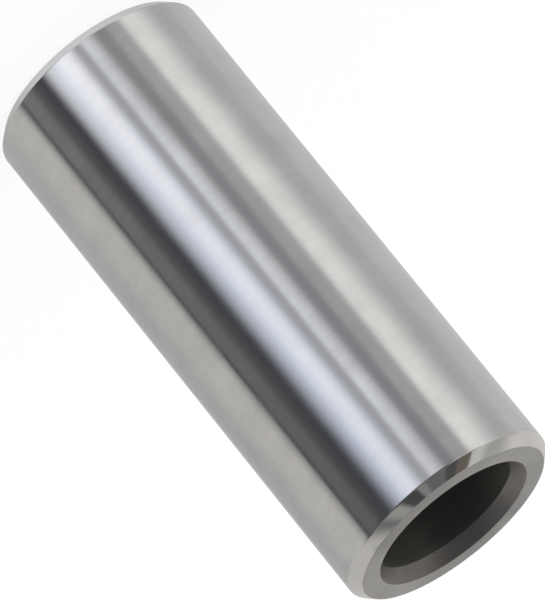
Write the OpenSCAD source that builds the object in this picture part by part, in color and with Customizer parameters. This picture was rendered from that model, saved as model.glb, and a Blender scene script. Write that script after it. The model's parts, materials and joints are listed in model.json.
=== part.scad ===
// Gudgeon pin: the ground steel tube that joins a piston to the small end of its connecting rod.
// It is one turned piece, alike at both ends. The pin stands on an end face: +Z runs along its
// axis, and the origin is the centre of the lower end face. All lengths are in millimetres.

/* [Pin] */
// Diameter of the outer bearing surface
pin_d = 22; // [21:0.5:32]
// Length over both end faces
pin_length = 55.5; // [30:0.5:90]
// Thickness of the wall round the through bore that lightens the pin
wall = 3.75; // [2.75:0.05:6]

/* [Outer chamfer] */
// Width of the outer chamfer, measured across the end face
rim_chamfer_width = 0.9; // [0.5:0.05:1.2]
// Length of the outer chamfer, measured along the axis
rim_chamfer_length = 0.95; // [0.5:0.05:2]
// Radius that runs the bearing surface into the outer chamfer, so that the pin enters its bores unscored
lead_in_r = 0.35; // [0.1:0.05:0.5]

/* [Bore mouth] */
// Width of the chamfer at the mouth of the bore, measured across the end face
mouth_chamfer_width = 0.9; // [0.5:0.05:1.2]
// Length of the chamfer at the mouth of the bore, measured along the axis
mouth_chamfer_length = 1.3; // [0.5:0.05:3]

/* [Edges] */
// Radius that breaks every edge of the end faces and of the bore
edge_break_r = 0.12; // [0.05:0.01:0.25]
// Facets drawn round the pin
facets_round = 180; // [48:12:360]
// Facets drawn round each edge radius
facets_edge = 48; // [24:8:96]

/* [Hidden] */

pin_r = pin_d / 2;
bore_r = pin_r - wall;
face_outer_r = pin_r - rim_chamfer_width;
face_inner_r = bore_r + mouth_chamfer_width;

// The corners of the pin's section, from the lower end face up the outside and down the bore.
// Each row is [radius from the axis, height, radius of that corner's rounding].
section_corners = [
    [face_outer_r, 0, edge_break_r],
    [pin_r, rim_chamfer_length, lead_in_r],
    [pin_r, pin_length - rim_chamfer_length, lead_in_r],
    [face_outer_r, pin_length, edge_break_r],
    [face_inner_r, pin_length, edge_break_r],
    [bore_r, pin_length - mouth_chamfer_length, edge_break_r],
    [bore_r, mouth_chamfer_length, edge_break_r],
    [face_inner_r, 0, edge_break_r]
];
corner_count = len(section_corners);

// A corner's row by its number, which runs on past the last corner to the first
function corner(i) = section_corners[(i + corner_count) % corner_count];

// Where a corner lies in the section
function place(i) = [corner(i)[0], corner(i)[1]];

// The direction from one point to another
function heading(from, to) = (to - from) / norm(to - from);

// The directions in which the outline reaches a corner and leaves it
function way_in(i) = heading(place(i - 1), place(i));
function way_out(i) = heading(place(i), place(i + 1));

// How far the rounding reaches along each side from its corner
function reach(i) = corner(i)[2] * tan(acos(way_in(i) * way_out(i)) / 2);

// The points where the rounding starts and ends, and the centre of its arc
function arc_start(i) = place(i) - reach(i) * way_in(i);
function arc_end(i) = place(i) + reach(i) * way_out(i);
function arc_centre(i) = arc_start(i) + corner(i)[2] * [-way_in(i)[1], way_in(i)[0]];

// One side of the pin's lengthwise section. Every corner points outwards, so a disc in each one
// gives it a true arc.
module pin_section() {
    polygon([for (i = [0 : corner_count - 1]) each [arc_start(i), arc_end(i)]]);
    for (i = [0 : corner_count - 1])
        translate(arc_centre(i)) circle(r = corner(i)[2], $fn = facets_edge);
}

// The whole pin, turned from its section
module gudgeon_pin() {
    color([0.70, 0.70, 0.69]) rotate_extrude($fn = facets_round) pin_section();
}

gudgeon_pin();
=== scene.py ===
"""A gudgeon pin standing on its end in a plain, pale studio.

The pin is shaped in the order a turner would cut it. A bar is stepped in at both ends to give the
outer chamfer, the end face and the mouth of the bore, the bore is joined through, and then every
edge is rounded. Each surface gets the finish of its own cut: ground outside, turned on the chamfers
and end faces, dull in the bore. All lengths are in metres.
"""

import json
import math

import bpy
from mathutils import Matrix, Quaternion, Vector


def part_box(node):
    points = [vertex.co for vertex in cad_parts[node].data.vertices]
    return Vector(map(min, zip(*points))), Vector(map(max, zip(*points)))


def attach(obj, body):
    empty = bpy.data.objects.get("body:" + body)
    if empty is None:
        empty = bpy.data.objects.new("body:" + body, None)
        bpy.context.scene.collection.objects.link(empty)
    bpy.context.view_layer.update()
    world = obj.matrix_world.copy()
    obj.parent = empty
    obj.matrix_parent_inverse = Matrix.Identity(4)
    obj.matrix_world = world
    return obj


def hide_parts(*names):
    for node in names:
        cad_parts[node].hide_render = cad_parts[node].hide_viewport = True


bl_info = {
    "name": "Gudgeon Pin",
    "version": (1, 0, 0),
    "blender": (4, 5, 0),
    "location": "3D View > Sidebar > Gudgeon Pin",
    "description": "Models a hollow gudgeon pin with its ground and turned finishes, and sets its studio",
    "category": "Object",
}

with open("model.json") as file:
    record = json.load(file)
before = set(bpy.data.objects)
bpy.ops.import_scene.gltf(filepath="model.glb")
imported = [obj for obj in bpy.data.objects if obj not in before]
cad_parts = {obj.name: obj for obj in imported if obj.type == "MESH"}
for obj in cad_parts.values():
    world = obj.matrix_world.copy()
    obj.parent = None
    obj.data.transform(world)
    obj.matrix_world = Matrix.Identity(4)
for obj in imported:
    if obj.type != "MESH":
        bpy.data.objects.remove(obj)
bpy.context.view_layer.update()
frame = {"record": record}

# What the pin stands for in the frame, and its main sizes there
CAD_NODE = "gudgeon_pin"
CAD_BODY = "root"
MM = 0.001
LOW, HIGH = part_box(CAD_NODE)
MOUNTS = {mount["name"]: mount for mount in frame["record"]["mounts"]}
CAD_RADIUS = MOUNTS["bearing_surface"]["dims"]["r_mm"] * MM
CAD_BORE_RADIUS = MOUNTS["through_bore"]["dims"]["r_mm"] * MM
CAD_LENGTH = HIGH.z - LOW.z
MIDDLE = Vector((0.0, 0.0, (LOW.z + HIGH.z) / 2))
RIGHT_ANGLE = math.pi / 2


def length_setting(name, description, default, least=0.0):
    """A length that the user may change."""
    return bpy.props.FloatProperty(name=name, description=description, default=default, min=least,
                                   precision=5, unit="LENGTH")


def colour_setting(name, description, default):
    """A surface's colour that the user may change, as the share of light that it reflects."""
    return bpy.props.FloatVectorProperty(name=name, description=description, default=default, size=3,
                                         min=0.0, max=1.0, subtype="COLOR")


class PinSizes(bpy.types.PropertyGroup):
    """The sizes of the pin that a user may change."""

    radius: length_setting("Radius", "Radius of the ground bearing surface", CAD_RADIUS, least=MM)
    length: length_setting("Length", "Length over both end faces", CAD_LENGTH, least=MM)
    bore_radius: length_setting("Bore radius", "Radius of the through bore", CAD_BORE_RADIUS, least=MM)
    rim_width: length_setting(
        "Outer chamfer width", "Width of the outer chamfer across the end face", 0.9 * MM)
    rim_length: length_setting(
        "Outer chamfer length", "Length of the outer chamfer along the axis", 0.95 * MM)
    mouth_width: length_setting(
        "Mouth chamfer width", "Width of the bore's chamfer across the end face", 0.9 * MM)
    mouth_length: length_setting(
        "Mouth chamfer length", "Length of the bore's chamfer along the axis", 1.3 * MM)
    lead_in: length_setting(
        "Lead-in radius", "Radius between the bearing surface and the outer chamfer", 0.35 * MM)
    edge_break: length_setting(
        "Edge break", "Radius on every edge of the end faces and the bore", 0.12 * MM)
    facets_round: bpy.props.IntProperty(
        name="Facets round", description="Facets round the pin", default=512, min=24)
    facets_edge: bpy.props.IntProperty(
        name="Facets on an edge", description="Facets across each rounded edge", default=6, min=1)


class PinFinish(bpy.types.PropertyGroup):
    """The colours of the pin's surfaces, as reflectance."""

    ground: colour_setting("Ground steel", "Colour of the bearing surface", (0.70, 0.695, 0.69))
    turned: colour_setting("Turned steel", "Colour of the outer chamfers", (0.68, 0.674, 0.666))
    faced: colour_setting("Faced steel", "Colour of the end faces", (0.43, 0.424, 0.42))
    mouth: colour_setting("Mouth of the bore", "Colour of the bore's chamfers", (0.238, 0.229, 0.221))
    bore: colour_setting("Bore", "Colour of the bore's wall", (0.21, 0.21, 0.195))


class PinStudio(bpy.types.PropertyGroup):
    """The camera, which looks at the pin as the photograph does, and the floor."""

    distance: bpy.props.FloatProperty(
        name="Camera distance", description="From the camera to the middle of the pin",
        default=0.7405, min=0.01, unit="LENGTH")
    elevation: bpy.props.FloatProperty(
        name="Camera elevation", description="Angle of the camera above the pin's middle",
        default=math.radians(20.985), subtype="ANGLE")
    roll: bpy.props.FloatProperty(
        name="Camera roll", description="Turn of the picture, which lays the pin at a slant in it",
        default=math.radians(141.07), subtype="ANGLE")
    lens: bpy.props.FloatProperty(
        name="Lens", description="Focal length, in millimetres on a 36 mm frame", default=490.0, min=1.0)
    floor_radius: bpy.props.FloatProperty(
        name="Floor radius", description="Radius of the round floor", default=3.0, min=0.1, unit="LENGTH")
    floor_shade: bpy.props.FloatProperty(
        name="Floor shade", description="Share of the floor's white that shadows can take away",
        default=0.12, min=0.0, max=1.0, subtype="FACTOR")


# How near two places must be to count as the same one
SAME_PLACE = 0.002 * MM
# How near two points must be to be merged
MERGE_DISTANCE = 0.0001 * MM
# How nearly a normal must point along the axis for its face to close an end
ALONG_AXIS = 0.99
# The bevel's profile that is a round one
ROUND_PROFILE = 0.5
# The weight at which large faces rule the normals at their corners, so that flats look flat
LARGE_FACES_RULE = 100


def pick_faces(piece, wanted):
    """Opens the piece in edit mode with just those faces selected that wanted accepts."""
    open_with_selection(piece, piece.data.polygons, wanted, (False, False, True))


def pick_edges(piece, wanted):
    """Opens the piece in edit mode with just those edges selected that wanted accepts."""
    open_with_selection(piece, piece.data.edges, wanted, (False, True, False))


def open_with_selection(piece, parts, wanted, select_mode):
    """Opens the piece in edit mode with the parts selected that wanted accepts."""
    mesh = piece.data
    for kind in (mesh.vertices, mesh.edges, mesh.polygons):
        kind.foreach_set("select", [False] * len(kind))
    chosen = [part for part in parts if wanted(part)]
    if not chosen:
        raise RuntimeError("nothing on the pin lies where the next cut starts")
    for part in chosen:
        part.select = True
    bpy.context.tool_settings.mesh_select_mode = select_mode
    bpy.ops.object.mode_set(mode="EDIT")


def close_edit():
    """Leaves edit mode, so that the mesh is up to date."""
    bpy.ops.object.mode_set(mode="OBJECT")


def closes_end(face):
    """Whether a face is one of the two round ones on the axis that close the ends."""
    return abs(face.normal.z) > ALONG_AXIS and math.hypot(face.center.x, face.center.y) < SAME_PLACE


def step_ends(piece, start, finish):
    """Extrudes both ends from one place of the section to the next.

    A place is a radius and a distance from the pin's middle along the axis.
    """
    pick_faces(piece, closes_end)
    across = finish[0] / start[0]
    along = finish[1] / start[1]
    bpy.ops.mesh.extrude_region_move()
    bpy.ops.transform.resize(value=(across, across, along), center_override=MIDDLE)
    close_edit()


def join_bore(piece):
    """Joins the two round faces at the foot of the mouths with one wall, the bore."""
    pick_faces(piece, closes_end)
    bpy.ops.mesh.bridge_edge_loops()
    close_edit()


def round_edge(piece, place, radius, turn, facets):
    """Rounds the ring of edges at a place of the section, at both ends.

    The turn is the angle by which the section changes its direction there.
    """
    def at_place(point):
        across = abs(math.hypot(point.x, point.y) - place[0])
        along = abs(abs(point.z) - place[1])
        return across < SAME_PLACE and along < SAME_PLACE

    def on_ring(edge):
        first, second = (piece.data.vertices[number].co - MIDDLE for number in edge.vertices)
        return at_place(first) and at_place(second) and first.z * second.z > 0

    pick_edges(piece, on_ring)
    bpy.ops.mesh.bevel(offset=radius * math.tan(turn / 2), offset_type="OFFSET", segments=facets,
                       profile=ROUND_PROFILE, affect="EDGES")
    close_edit()


def turn_pin(sizes):
    """Models the pin from a round bar.

    Returns it with the angles of its outer chamfer and its mouth chamfer to the axis.
    """
    half = sizes.length / 2
    shoulder = (sizes.radius, half - sizes.rim_length)
    face_rim = (sizes.radius - sizes.rim_width, half)
    face_mouth = (sizes.bore_radius + sizes.mouth_width, half)
    bore_end = (sizes.bore_radius, half - sizes.mouth_length)

    bpy.ops.object.select_all(action="DESELECT")
    bpy.ops.mesh.primitive_cylinder_add(vertices=sizes.facets_round, radius=shoulder[0],
                                        depth=2 * shoulder[1], end_fill_type="NGON", location=MIDDLE)
    pin = bpy.context.active_object
    pin.name = "turned_pin"
    bpy.ops.object.transform_apply(location=True, rotation=True, scale=True)

    step_ends(pin, shoulder, face_rim)
    step_ends(pin, face_rim, face_mouth)
    step_ends(pin, face_mouth, bore_end)
    join_bore(pin)

    rim_slope = math.atan2(sizes.rim_width, sizes.rim_length)
    mouth_slope = math.atan2(sizes.mouth_width, sizes.mouth_length)
    round_edge(pin, shoulder, sizes.lead_in, rim_slope, sizes.facets_edge)
    round_edge(pin, face_rim, sizes.edge_break, RIGHT_ANGLE - rim_slope, sizes.facets_edge)
    round_edge(pin, face_mouth, sizes.edge_break, RIGHT_ANGLE - mouth_slope, sizes.facets_edge)
    round_edge(pin, bore_end, sizes.edge_break, mouth_slope, sizes.facets_edge)

    pick_faces(pin, lambda face: True)
    bpy.ops.mesh.remove_doubles(threshold=MERGE_DISTANCE)
    bpy.ops.mesh.normals_make_consistent(inside=False)
    close_edit()
    bpy.ops.object.shade_smooth()
    weighted = pin.modifiers.new("even_shading", "WEIGHTED_NORMAL")
    weighted.mode = "FACE_AREA"
    weighted.weight = LARGE_FACES_RULE
    bpy.ops.object.modifier_apply(modifier=weighted.name)
    return pin, rim_slope, mouth_slope


def put_node(tree, kind, inputs=None, **settings):
    """Adds a node. Each input is given by its name or number, as a value or as the socket that feeds it."""
    made = tree.nodes.new(kind)
    for name, value in settings.items():
        setattr(made, name, value)
    for key, value in (inputs or {}).items():
        feed(tree, made.inputs[key], value)
    return made


def feed(tree, socket, value):
    """Gives an input its value, or links it to the socket that feeds it."""
    if isinstance(value, bpy.types.NodeSocket):
        tree.links.new(value, socket)
    else:
        socket.default_value = value


def calculate(tree, operation, *values):
    """The result of one Math node."""
    return put_node(tree, "ShaderNodeMath", dict(enumerate(values)), operation=operation).outputs[0]


def remap(tree, value, start, finish, low, high, smooth=False):
    """A value moved from one range to another, and held at its ends."""
    kind = "SMOOTHSTEP" if smooth else "LINEAR"
    inputs = {"Value": value, "From Min": start, "From Max": finish, "To Min": low, "To Max": high}
    made = put_node(tree, "ShaderNodeMapRange", inputs, interpolation_type=kind, clamp=True)
    return made.outputs["Result"]


def mix_values(tree, factor, first, second):
    """A mix of two numbers."""
    return mix(tree, "FLOAT", "Float", factor, first, second)


def mix_colours(tree, factor, first, second):
    """A mix of two colours."""
    return mix(tree, "RGBA", "Color", factor, first, second)


def mix(tree, kind, suffix, factor, first, second):
    """A Mix node of the given kind, whose sockets of that kind end in the suffix."""
    made = put_node(tree, "ShaderNodeMix", data_type=kind)
    for key, value in (("Factor_Float", factor), ("A_" + suffix, first), ("B_" + suffix, second)):
        feed(tree, next(socket for socket in made.inputs if socket.identifier == key), value)
    return next(socket for socket in made.outputs if socket.identifier == "Result_" + suffix)


def new_group(name, inputs, outputs):
    """An empty shader node group with its ends. Its inputs and outputs are given by name and kind."""
    group = bpy.data.node_groups.new(name, "ShaderNodeTree")
    for way, sockets in (("INPUT", inputs), ("OUTPUT", outputs)):
        for label, kind in sockets.items():
            group.interface.new_socket(name=label, in_out=way, socket_type="NodeSocket" + kind)
    return group, group.nodes.new("NodeGroupInput"), group.nodes.new("NodeGroupOutput")


# The marks and clouds are noise. Its detail says how often a finer noise is laid over it, and its
# roughness how strong each of those is beside the one before.
MARK_DETAIL, MARK_ROUGHNESS = 3.0, 0.6
CLOUD_DETAIL, CLOUD_ROUGHNESS = 2.0, 0.5
CLOUD_SIZE = 4 * MM
# Streaks lie among the fine marks. They are so many times as far apart, and break off more often.
STREAK_SPACING = 14
FINE_BREAKS, STREAK_BREAKS = 1.5, 4.0
# The share of the streaks in the marks, and of the clouds in the whole
STREAK_SHARE, CLOUD_SHARE = 0.5, 0.5
# The values of the whole at which a surface is dullest and brightest
DULLEST, BRIGHTEST = 0.36, 0.64
# The direction of the stretched highlight, as a share of a full turn
HIGHLIGHT_TURN = 0.25


def pin_position_group():
    """Splits a point on the pin into its distance from the axis, its height and its direction."""
    group, start, end = new_group("Pin Position", {"Point": "Vector"},
                                  {"Radius": "Float", "Height": "Float", "Direction": "Vector"})
    parts = put_node(group, "ShaderNodeSeparateXYZ", {0: start.outputs["Point"]})
    flat = put_node(group, "ShaderNodeCombineXYZ", {0: parts.outputs["X"], 1: parts.outputs["Y"]})
    length = put_node(group, "ShaderNodeVectorMath", {0: flat.outputs[0]}, operation="LENGTH")
    unit = put_node(group, "ShaderNodeVectorMath", {0: flat.outputs[0]}, operation="NORMALIZE")
    group.links.new(length.outputs["Value"], end.inputs["Radius"])
    group.links.new(parts.outputs["Z"], end.inputs["Height"])
    group.links.new(unit.outputs["Vector"], end.inputs["Direction"])
    return group


def cut_marks_group():
    """Fine lines that run round the pin, as a wheel or a tool leaves them.

    Travel is the distance across the marks, Spacing the mean gap between them, and Breaks says how
    often a mark fades and another takes over on the way round.
    """
    inputs = {"Travel": "Float", "Direction": "Vector", "Spacing": "Float", "Breaks": "Float"}
    group, start, end = new_group("Cut Marks", inputs, {"Marks": "Float"})
    across = calculate(group, "DIVIDE", start.outputs["Travel"], start.outputs["Spacing"])
    around = put_node(group, "ShaderNodeVectorMath",
                      {0: start.outputs["Direction"], "Scale": start.outputs["Breaks"]}, operation="SCALE")
    parts = put_node(group, "ShaderNodeSeparateXYZ", {0: around.outputs["Vector"]})
    place = put_node(group, "ShaderNodeCombineXYZ",
                     {0: parts.outputs["X"], 1: parts.outputs["Y"], 2: across})
    noise = put_node(group, "ShaderNodeTexNoise",
                     {"Vector": place.outputs[0], "Scale": 1.0, "Detail": MARK_DETAIL,
                      "Roughness": MARK_ROUGHNESS})
    group.links.new(noise.outputs["Fac"], end.inputs["Marks"])
    return group


def cloud_group():
    """Soft, uneven patches over the surface, from the last polish and from handling."""
    inputs = {"Point": "Vector", "Size": "Float"}
    group, start, end = new_group("Handling Clouds", inputs, {"Cloud": "Float"})
    scale = calculate(group, "DIVIDE", 1.0, start.outputs["Size"])
    noise = put_node(group, "ShaderNodeTexNoise",
                     {"Vector": start.outputs["Point"], "Scale": scale, "Detail": CLOUD_DETAIL,
                      "Roughness": CLOUD_ROUGHNESS})
    group.links.new(noise.outputs["Fac"], end.inputs["Cloud"])
    return group


def put_group(tree, group, inputs):
    """Places a node group in a material with its values."""
    return put_node(tree, "ShaderNodeGroup", inputs, node_tree=group)


def steel_finish(name, groups, colour, across, spacing, roughness, mark_depth, shading, anisotropy):
    """A steel surface with cut marks round the pin.

    across names the way over the marks: Height on walls, Radius on end faces. spacing is the mean gap
    between the fine marks, roughness the smoothest and the roughest value, mark_depth the height of
    the marks, shading the share by which marks and clouds darken the colour, and anisotropy how far
    the highlight is stretched.
    """
    material = bpy.data.materials.new(name)
    material.use_nodes = True
    tree = material.node_tree
    tree.nodes.clear()
    position, marks, clouds = groups
    point = put_node(tree, "ShaderNodeTexCoord").outputs["Object"]
    place = put_group(tree, position, {"Point": point})
    run = {"Travel": place.outputs[across], "Direction": place.outputs["Direction"]}
    fine = put_group(tree, marks, {**run, "Spacing": spacing, "Breaks": FINE_BREAKS})
    streaks = put_group(tree, marks,
                        {**run, "Spacing": STREAK_SPACING * spacing, "Breaks": STREAK_BREAKS})
    cloud = put_group(tree, clouds, {"Point": point, "Size": CLOUD_SIZE})
    marked = mix_values(tree, STREAK_SHARE, fine.outputs["Marks"], streaks.outputs["Marks"])
    uneven = mix_values(tree, CLOUD_SHARE, marked, cloud.outputs["Cloud"])
    dull = [channel * (1 - shading) for channel in colour]
    tone = remap(tree, uneven, DULLEST, BRIGHTEST, 0.0, 1.0)
    base = mix_colours(tree, tone, (*dull, 1.0), (*colour, 1.0))
    rough = remap(tree, uneven, DULLEST, BRIGHTEST, roughness[1], roughness[0])
    bump = put_node(tree, "ShaderNodeBump", {"Height": marked, "Strength": 1.0, "Distance": mark_depth})
    steel = put_node(tree, "ShaderNodeBsdfPrincipled",
                     {"Base Color": base, "Metallic": 1.0, "Roughness": rough, "Normal": bump.outputs[0],
                      "Anisotropic": anisotropy, "Anisotropic Rotation": HIGHLIGHT_TURN})
    output = put_node(tree, "ShaderNodeOutputMaterial")
    tree.links.new(steel.outputs[0], output.inputs["Surface"])
    return material


def ground_surface(groups, colour):
    """The bearing surface, with the very fine marks of a grinding wheel."""
    return steel_finish("ground_bearing_surface", groups, colour, across="Height", spacing=0.035 * MM,
                        roughness=(0.10, 0.17), mark_depth=0.0001 * MM, shading=0.12, anisotropy=0.4)


def turned_chamfer(groups, colour):
    """The outer chamfers, finely turned and the smoothest surface of all."""
    return steel_finish("turned_outer_chamfer", groups, colour, across="Height", spacing=0.06 * MM,
                        roughness=(0.06, 0.10), mark_depth=0.0003 * MM, shading=0.10, anisotropy=0.3)


def faced_end(groups, colour):
    """The end faces, with the duller rings of a facing cut."""
    return steel_finish("faced_end", groups, colour, across="Radius", spacing=0.08 * MM,
                        roughness=(0.36, 0.46), mark_depth=0.0008 * MM, shading=0.10, anisotropy=0.6)


def mouth_chamfer(groups, colour):
    """The chamfers at the mouths of the bore, as dull as the end faces and darker."""
    return steel_finish("mouth_chamfer", groups, colour, across="Height", spacing=0.10 * MM,
                        roughness=(0.36, 0.46), mark_depth=0.0012 * MM, shading=0.15, anisotropy=0.0)


def drilled_bore(groups, colour):
    """The wall of the bore, the roughest surface and the darkest."""
    return steel_finish("drilled_bore", groups, colour, across="Height", spacing=0.15 * MM,
                        roughness=(0.55, 0.70), mark_depth=0.002 * MM, shading=0.2, anisotropy=0.8)


def dress_pin(pin, finish, rim_slope, mouth_slope):
    """Gives each surface of the pin the finish of its own cut."""
    groups = (pin_position_group(), cut_marks_group(), cloud_group())
    # Each finish with the steepest normal that it covers, halfway over the rounded edge to the next.
    # A normal's angle runs from 0 on the bearing surface over the end face to 180 degrees in the bore.
    finishes = [
        (rim_slope / 2, ground_surface(groups, finish.ground)),
        ((rim_slope + RIGHT_ANGLE) / 2, turned_chamfer(groups, finish.turned)),
        (RIGHT_ANGLE + (RIGHT_ANGLE - mouth_slope) / 2, faced_end(groups, finish.faced)),
        (math.pi - mouth_slope / 2, mouth_chamfer(groups, finish.mouth)),
        (math.pi, drilled_bore(groups, finish.bore)),
    ]
    for _, material in finishes:
        pin.data.materials.append(material)
    for face in pin.data.polygons:
        outward = Vector((face.center.x, face.center.y, 0.0)).normalized().dot(face.normal)
        angle = math.atan2(abs(face.normal.z), outward)
        face.material_index = next(number for number, (limit, _) in enumerate(finishes) if angle <= limit)


# The studio as the polished steel sees it. Each card stands or hangs round the pin over a range of
# azimuth, from the camera's side (0) towards +X (90), in degrees. Its two sides are given with the
# softness of each, in degrees too, and its shade is a brightness times a tint. Later cards are in
# front of earlier ones.
WHITE = (1.0, 1.0, 1.0)
WARM = (1.022, 1.0, 0.974)
NEUTRAL = (1.01, 1.0, 0.985)
PALE = (0.99, 1.0, 1.015)
COOL = (0.97, 1.0, 1.08)
BLUE = (0.92, 1.0, 1.22)
BROWN = (1.17, 1.0, 0.84)
# What shows where there is no card
ROOM = (0.50, NEUTRAL)
# The cards that stand on the floor, which the bearing surface sees: the name, the two sides and their
# softness, the brightness and the tint
STANDING_CARDS = (
    ("left_wall", (-130, -60, 4, 4), 0.55, NEUTRAL),
    ("left_sweep", (-200, -114, 2, 16), 0.64, NEUTRAL),
    ("left_strip", (-82, -55.5, 32, 10), 0.97, NEUTRAL),
    ("grey_flag", (-38.5, -26, 7, 8), 0.30, COOL),
    ("thin_strip", (-21.5, -9.5, 16, 6), 0.90, COOL),
    ("gap", (-10, 8, 6, 4), 0.48, COOL),
    ("black_flag", (8, 75.5, 8, 2), 0.072, COOL),
    ("flag_face", (55, 71, 12, 3), 0.132, WARM),
    ("key_gel", (3, 29, 14, 26), 0.88, BLUE),
    ("key_strip", (4, 17, 18, 14), 1.06, COOL),
    ("panel_edge", (75.5, 84, 2, 10), 0.42, WARM),
    ("right_panel", (81, 118, 10, 36), 0.62, WARM),
)
# A glow behind the pin, on both sides, with the azimuths over which it comes up
FAR_GLOW = (0.56, NEUTRAL)
FAR_GLOW_START, FAR_GLOW_FULL = 152, 179
# The white floor, and the elevations over which the steel comes to see it
FLOOR_WHITE = (0.86, PALE)
FLOOR_TOP, FLOOR_FULL = -30, -75
# The cards that hang above, which the chamfers and the end face see: the name, the two sides and
# their softness, the elevation of the lower edge, the brightness and the tint
HANGING_CARDS = (
    ("ceiling", (-200, 200, 2, 2), 27, 0.61, WARM),
    ("window", (-200, -118, 2, 14), -11, 0.745, WARM),
    ("window_end", (-200, -166, 2, 28), -11, 0.65, WARM),
    ("pale_wall", (100, 200, 20, 2), -11, 0.65, WARM),
    ("dull_wall", (-111, -92, 12, 8), 27, 0.49, WARM),
    ("sliver", (-90, -75, 8, 3), 27, 0.68, NEUTRAL),
    ("left_canopy", (-75, -30, 2, 10), 38, 0.21, NEUTRAL),
    ("canopy", (-30, 86, 10, 26), 27, 0.215, NEUTRAL),
    ("key_shade", (-34, 40, 8, 6), 12, 0.175, NEUTRAL),
    ("brown_flag", (-75, -57, 2, 3), 38, 0.155, BROWN),
    ("left_black_flag", (-57, -37.5, 3, 10), 38, 0.095, NEUTRAL),
    ("lamp", (-5, 10, 8, 4), 42, 0.30, NEUTRAL),
    ("right_black_flag", (11, 37, 4, 4), 27, 0.082, NEUTRAL),
    ("beige_panel", (42.5, 65, 5, 14), 46, 0.40, WARM),
    ("right_canopy", (104, 170, 12, 20), 46, 0.17, NEUTRAL),
    ("window_top", (-170, -104, 20, 12), 46, 0.52, WARM),
)
# The softness of those lower edges
FOOT_SOFTNESS = 12
# The patches in front of all those cards: the name, the two sides and their softness, the elevations
# of foot and head and their softness, the share by which the patch covers what is behind it, the
# brightness and the tint
PATCHES = (
    ("flag_edge", (74.5, 78, 2, 2), (-34, -20.7, 4, 3), 0.65, 0.2, NEUTRAL),
    ("black_foot", (46, 54, 6, 6), (-34, -20.5, 4, 5), 0.75, 0.12, COOL),
    ("wall_foot", (112, 150, 16, 16), (-34, -21.8, 4, 4), 0.5, 0.57, NEUTRAL),
    ("overhead_panel", (-200, 200, 2, 2), (78, 100, 10, 2), 1.0, 0.45, NEUTRAL),
    ("key_foot", (1, 35, 14, 12), (-30, -24.1, 4, 5), 0.9, 1.75, NEUTRAL),
    ("flag_foot", (55, 72.5, 12, 3), (-32, -21.75, 4, 6.5), 0.66, 0.34, WARM),
    ("grey_top", (-54, -38, 6, 6), (-19.5, -8, 3, 4), 0.6, 0.34, NEUTRAL),
    ("grey_foot", (-41, -25, 7, 6), (-34, -22.5, 4, 4), 0.5, 0.42, NEUTRAL),
)


def shade(brightness, tint):
    """A colour from a brightness and a tint."""
    return (*(brightness * channel for channel in tint), 1.0)


def come_up(tree, value, edge, softness):
    """0 below an edge and 1 above it, with a soft change between."""
    return remap(tree, value, edge - softness / 2, edge + softness / 2, 0.0, 1.0, smooth=True)


def band(tree, value, start, end, soft_start, soft_end):
    """1 between two values and 0 outside them, with soft edges."""
    rise = come_up(tree, value, start, soft_start)
    fall = remap(tree, value, end - soft_end / 2, end + soft_end / 2, 1.0, 0.0, smooth=True)
    return calculate(tree, "MULTIPLY", rise, fall)


def put_card(tree, name, colour, mask, brightness, tint):
    """The colours with one more card in front of them, in a node that bears its name."""
    covered = mix_colours(tree, mask, colour, shade(brightness, tint))
    covered.node.label = name
    return covered


def studio_colours(tree):
    """The colour that the studio has in the direction of a ray."""
    direction = put_node(tree, "ShaderNodeTexCoord").outputs["Generated"]
    parts = put_node(tree, "ShaderNodeSeparateXYZ", {0: direction})
    towards = calculate(tree, "MULTIPLY", parts.outputs["Y"], -1.0)
    azimuth = calculate(tree, "DEGREES", calculate(tree, "ARCTAN2", parts.outputs["X"], towards))
    elevation = calculate(tree, "DEGREES", calculate(tree, "ARCSINE", parts.outputs["Z"]))

    colour = shade(*ROOM)
    for name, sides, brightness, tint in STANDING_CARDS:
        colour = put_card(tree, name, colour, band(tree, azimuth, *sides), brightness, tint)

    off_centre = calculate(tree, "ABSOLUTE", azimuth)
    behind = remap(tree, off_centre, FAR_GLOW_START, FAR_GLOW_FULL, 0.0, 1.0, smooth=True)
    colour = put_card(tree, "far_glow", colour, behind, *FAR_GLOW)
    on_floor = remap(tree, elevation, FLOOR_FULL, FLOOR_TOP, 1.0, 0.0, smooth=True)
    colour = put_card(tree, "floor_white", colour, on_floor, *FLOOR_WHITE)

    for name, sides, foot, brightness, tint in HANGING_CARDS:
        above = come_up(tree, elevation, foot, FOOT_SOFTNESS)
        mask = calculate(tree, "MULTIPLY", band(tree, azimuth, *sides), above)
        colour = put_card(tree, name, colour, mask, brightness, tint)

    for name, sides, ends, share, brightness, tint in PATCHES:
        patch = calculate(tree, "MULTIPLY", band(tree, azimuth, *sides), band(tree, elevation, *ends))
        mask = calculate(tree, "MULTIPLY", patch, share)
        colour = put_card(tree, name, colour, mask, brightness, tint)
    return colour


def light_studio():
    """A white, even world that the polished steel sees as a studio of strips and flags."""
    world = bpy.data.worlds.new("studio")
    bpy.context.scene.world = world
    # The light paths below have no meaning for a world that is sampled as a lamp
    world.cycles.sampling_method = "NONE"
    world.use_nodes = True
    tree = world.node_tree
    tree.nodes.clear()
    path = put_node(tree, "ShaderNodeLightPath")
    seen = mix_colours(tree, path.outputs["Is Glossy Ray"], shade(1.0, WHITE), studio_colours(tree))
    background = put_node(tree, "ShaderNodeBackground", {"Color": seen, "Strength": 1.0})
    output = put_node(tree, "ShaderNodeOutputWorld")
    tree.links.new(background.outputs[0], output.inputs["Surface"])


# How far the floor lies under the pin, so that the two share no plane
FLOOR_GAP = 0.02 * MM
FLOOR_SIDES = 64


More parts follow.
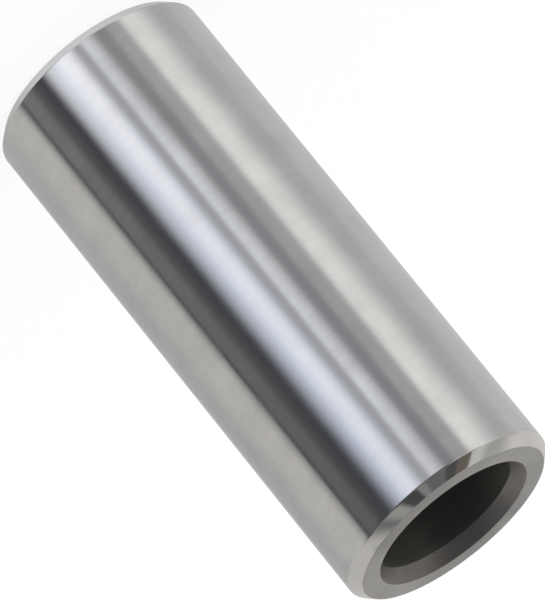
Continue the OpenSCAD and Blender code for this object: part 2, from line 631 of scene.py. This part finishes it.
def floor_material(shadow_share):
    """White as the camera sees it, with the pin's soft shadow on it.

    The steel and a camera under the floor see through it.
    """
    material = bpy.data.materials.new("pale_floor")
    material.use_nodes = True
    tree = material.node_tree
    tree.nodes.clear()
    path = put_node(tree, "ShaderNodeLightPath")
    shaded = put_node(tree, "ShaderNodeBsdfDiffuse", {"Color": shade(shadow_share, WHITE)})
    plain = calculate(tree, "MULTIPLY", path.outputs["Is Camera Ray"], 1.0 - shadow_share)
    white = put_node(tree, "ShaderNodeEmission", {"Color": shade(1.0, WHITE), "Strength": plain})
    lit = put_node(tree, "ShaderNodeAddShader", {0: shaded.outputs[0], 1: white.outputs[0]})
    below = put_node(tree, "ShaderNodeNewGeometry").outputs["Backfacing"]
    passing = calculate(tree, "MAXIMUM", path.outputs["Is Glossy Ray"], below)
    clear = put_node(tree, "ShaderNodeBsdfTransparent")
    surface = put_node(tree, "ShaderNodeMixShader", {0: passing, 1: lit.outputs[0], 2: clear.outputs[0]})
    output = put_node(tree, "ShaderNodeOutputMaterial")
    tree.links.new(surface.outputs[0], output.inputs["Surface"])
    return material


def lay_floor(radius, shadow_share):
    """The floor that the pin stands on."""
    bpy.ops.object.select_all(action="DESELECT")
    bpy.ops.mesh.primitive_circle_add(vertices=FLOOR_SIDES, radius=radius, fill_type="NGON",
                                      location=(0.0, 0.0, LOW.z - FLOOR_GAP))
    floor = bpy.context.active_object
    floor.name = "floor"
    floor.data.materials.append(floor_material(shadow_share))


# The photograph's frame in pixels, and where the middle of the pin lies in it
PHOTO_WIDTH, PHOTO_HEIGHT = 545, 600
MIDDLE_X_PX, MIDDLE_Y_PX = 271.7, 298.0
# The length of the camera's frame along the picture's longer side, in millimetres
FRAME_MM = 36.0
# The nearest and the farthest distance that the camera sees
NEAR_LIMIT, FAR_LIMIT = 0.01, 10.0


def place_camera(studio):
    """The camera at the photograph's viewing angle."""
    back = Vector((0.0, -math.cos(studio.elevation), math.sin(studio.elevation)))
    bpy.ops.object.camera_add(location=MIDDLE + studio.distance * back)
    camera = bpy.context.active_object
    camera.rotation_mode = "QUATERNION"
    level = (-back).to_track_quat("-Z", "Y")
    camera.rotation_quaternion = level @ Quaternion((0.0, 0.0, 1.0), studio.roll)
    camera.data.sensor_width = FRAME_MM
    camera.data.lens = studio.lens
    # A shift is a share of the picture's longer side
    camera.data.shift_x = (PHOTO_WIDTH / 2 - MIDDLE_X_PX) / PHOTO_HEIGHT
    camera.data.shift_y = (MIDDLE_Y_PX - PHOTO_HEIGHT / 2) / PHOTO_HEIGHT
    camera.data.clip_start = NEAR_LIMIT
    camera.data.clip_end = FAR_LIMIT
    bpy.context.scene.camera = camera


class GUDGEON_OT_turn_pin(bpy.types.Operator):
    """Model the pin and give each of its surfaces its finish"""

    bl_idname = "gudgeon.turn_pin"
    bl_label = "Turn the Pin"

    def execute(self, context):
        pin, rim_slope, mouth_slope = turn_pin(context.scene.pin_sizes)
        dress_pin(pin, context.scene.pin_finish, rim_slope, mouth_slope)
        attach(pin, CAD_BODY)
        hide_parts(CAD_NODE)
        return {"FINISHED"}


class GUDGEON_OT_set_stage(bpy.types.Operator):
    """Lay the floor, light the studio and place the camera"""

    bl_idname = "gudgeon.set_stage"
    bl_label = "Set the Stage"

    def execute(self, context):
        studio = context.scene.pin_studio
        context.scene.view_settings.view_transform = "Standard"
        lay_floor(studio.floor_radius, studio.floor_shade)
        light_studio()
        place_camera(studio)
        return {"FINISHED"}


class GUDGEON_PT_sidebar(bpy.types.Panel):
    """The pin's sizes, colours and steps"""

    bl_idname = "GUDGEON_PT_sidebar"
    bl_label = "Gudgeon Pin"
    bl_space_type = "VIEW_3D"
    bl_region_type = "UI"
    bl_category = "Gudgeon Pin"

    def draw(self, context):
        for group in (context.scene.pin_sizes, context.scene.pin_finish, context.scene.pin_studio):
            column = self.layout.column(align=True)
            for name in group.__annotations__:
                column.prop(group, name)
        for operator in (GUDGEON_OT_turn_pin, GUDGEON_OT_set_stage):
            self.layout.operator(operator.bl_idname)


CLASSES = (PinSizes, PinFinish, PinStudio, GUDGEON_OT_turn_pin, GUDGEON_OT_set_stage, GUDGEON_PT_sidebar)


def register():
    """Makes the property groups, operators and panel known."""
    for entry in CLASSES:
        bpy.utils.register_class(entry)
    bpy.types.Scene.pin_sizes = bpy.props.PointerProperty(type=PinSizes)
    bpy.types.Scene.pin_finish = bpy.props.PointerProperty(type=PinFinish)
    bpy.types.Scene.pin_studio = bpy.props.PointerProperty(type=PinStudio)


def unregister():
    """Takes them away again."""
    del bpy.types.Scene.pin_studio
    del bpy.types.Scene.pin_finish
    del bpy.types.Scene.pin_sizes
    for entry in reversed(CLASSES):
        bpy.utils.unregister_class(entry)


def main():
    """Builds the pin and its stage."""
    register()
    bpy.ops.gudgeon.turn_pin()
    bpy.ops.gudgeon.set_stage()


if __name__ == "__main__":
    main()
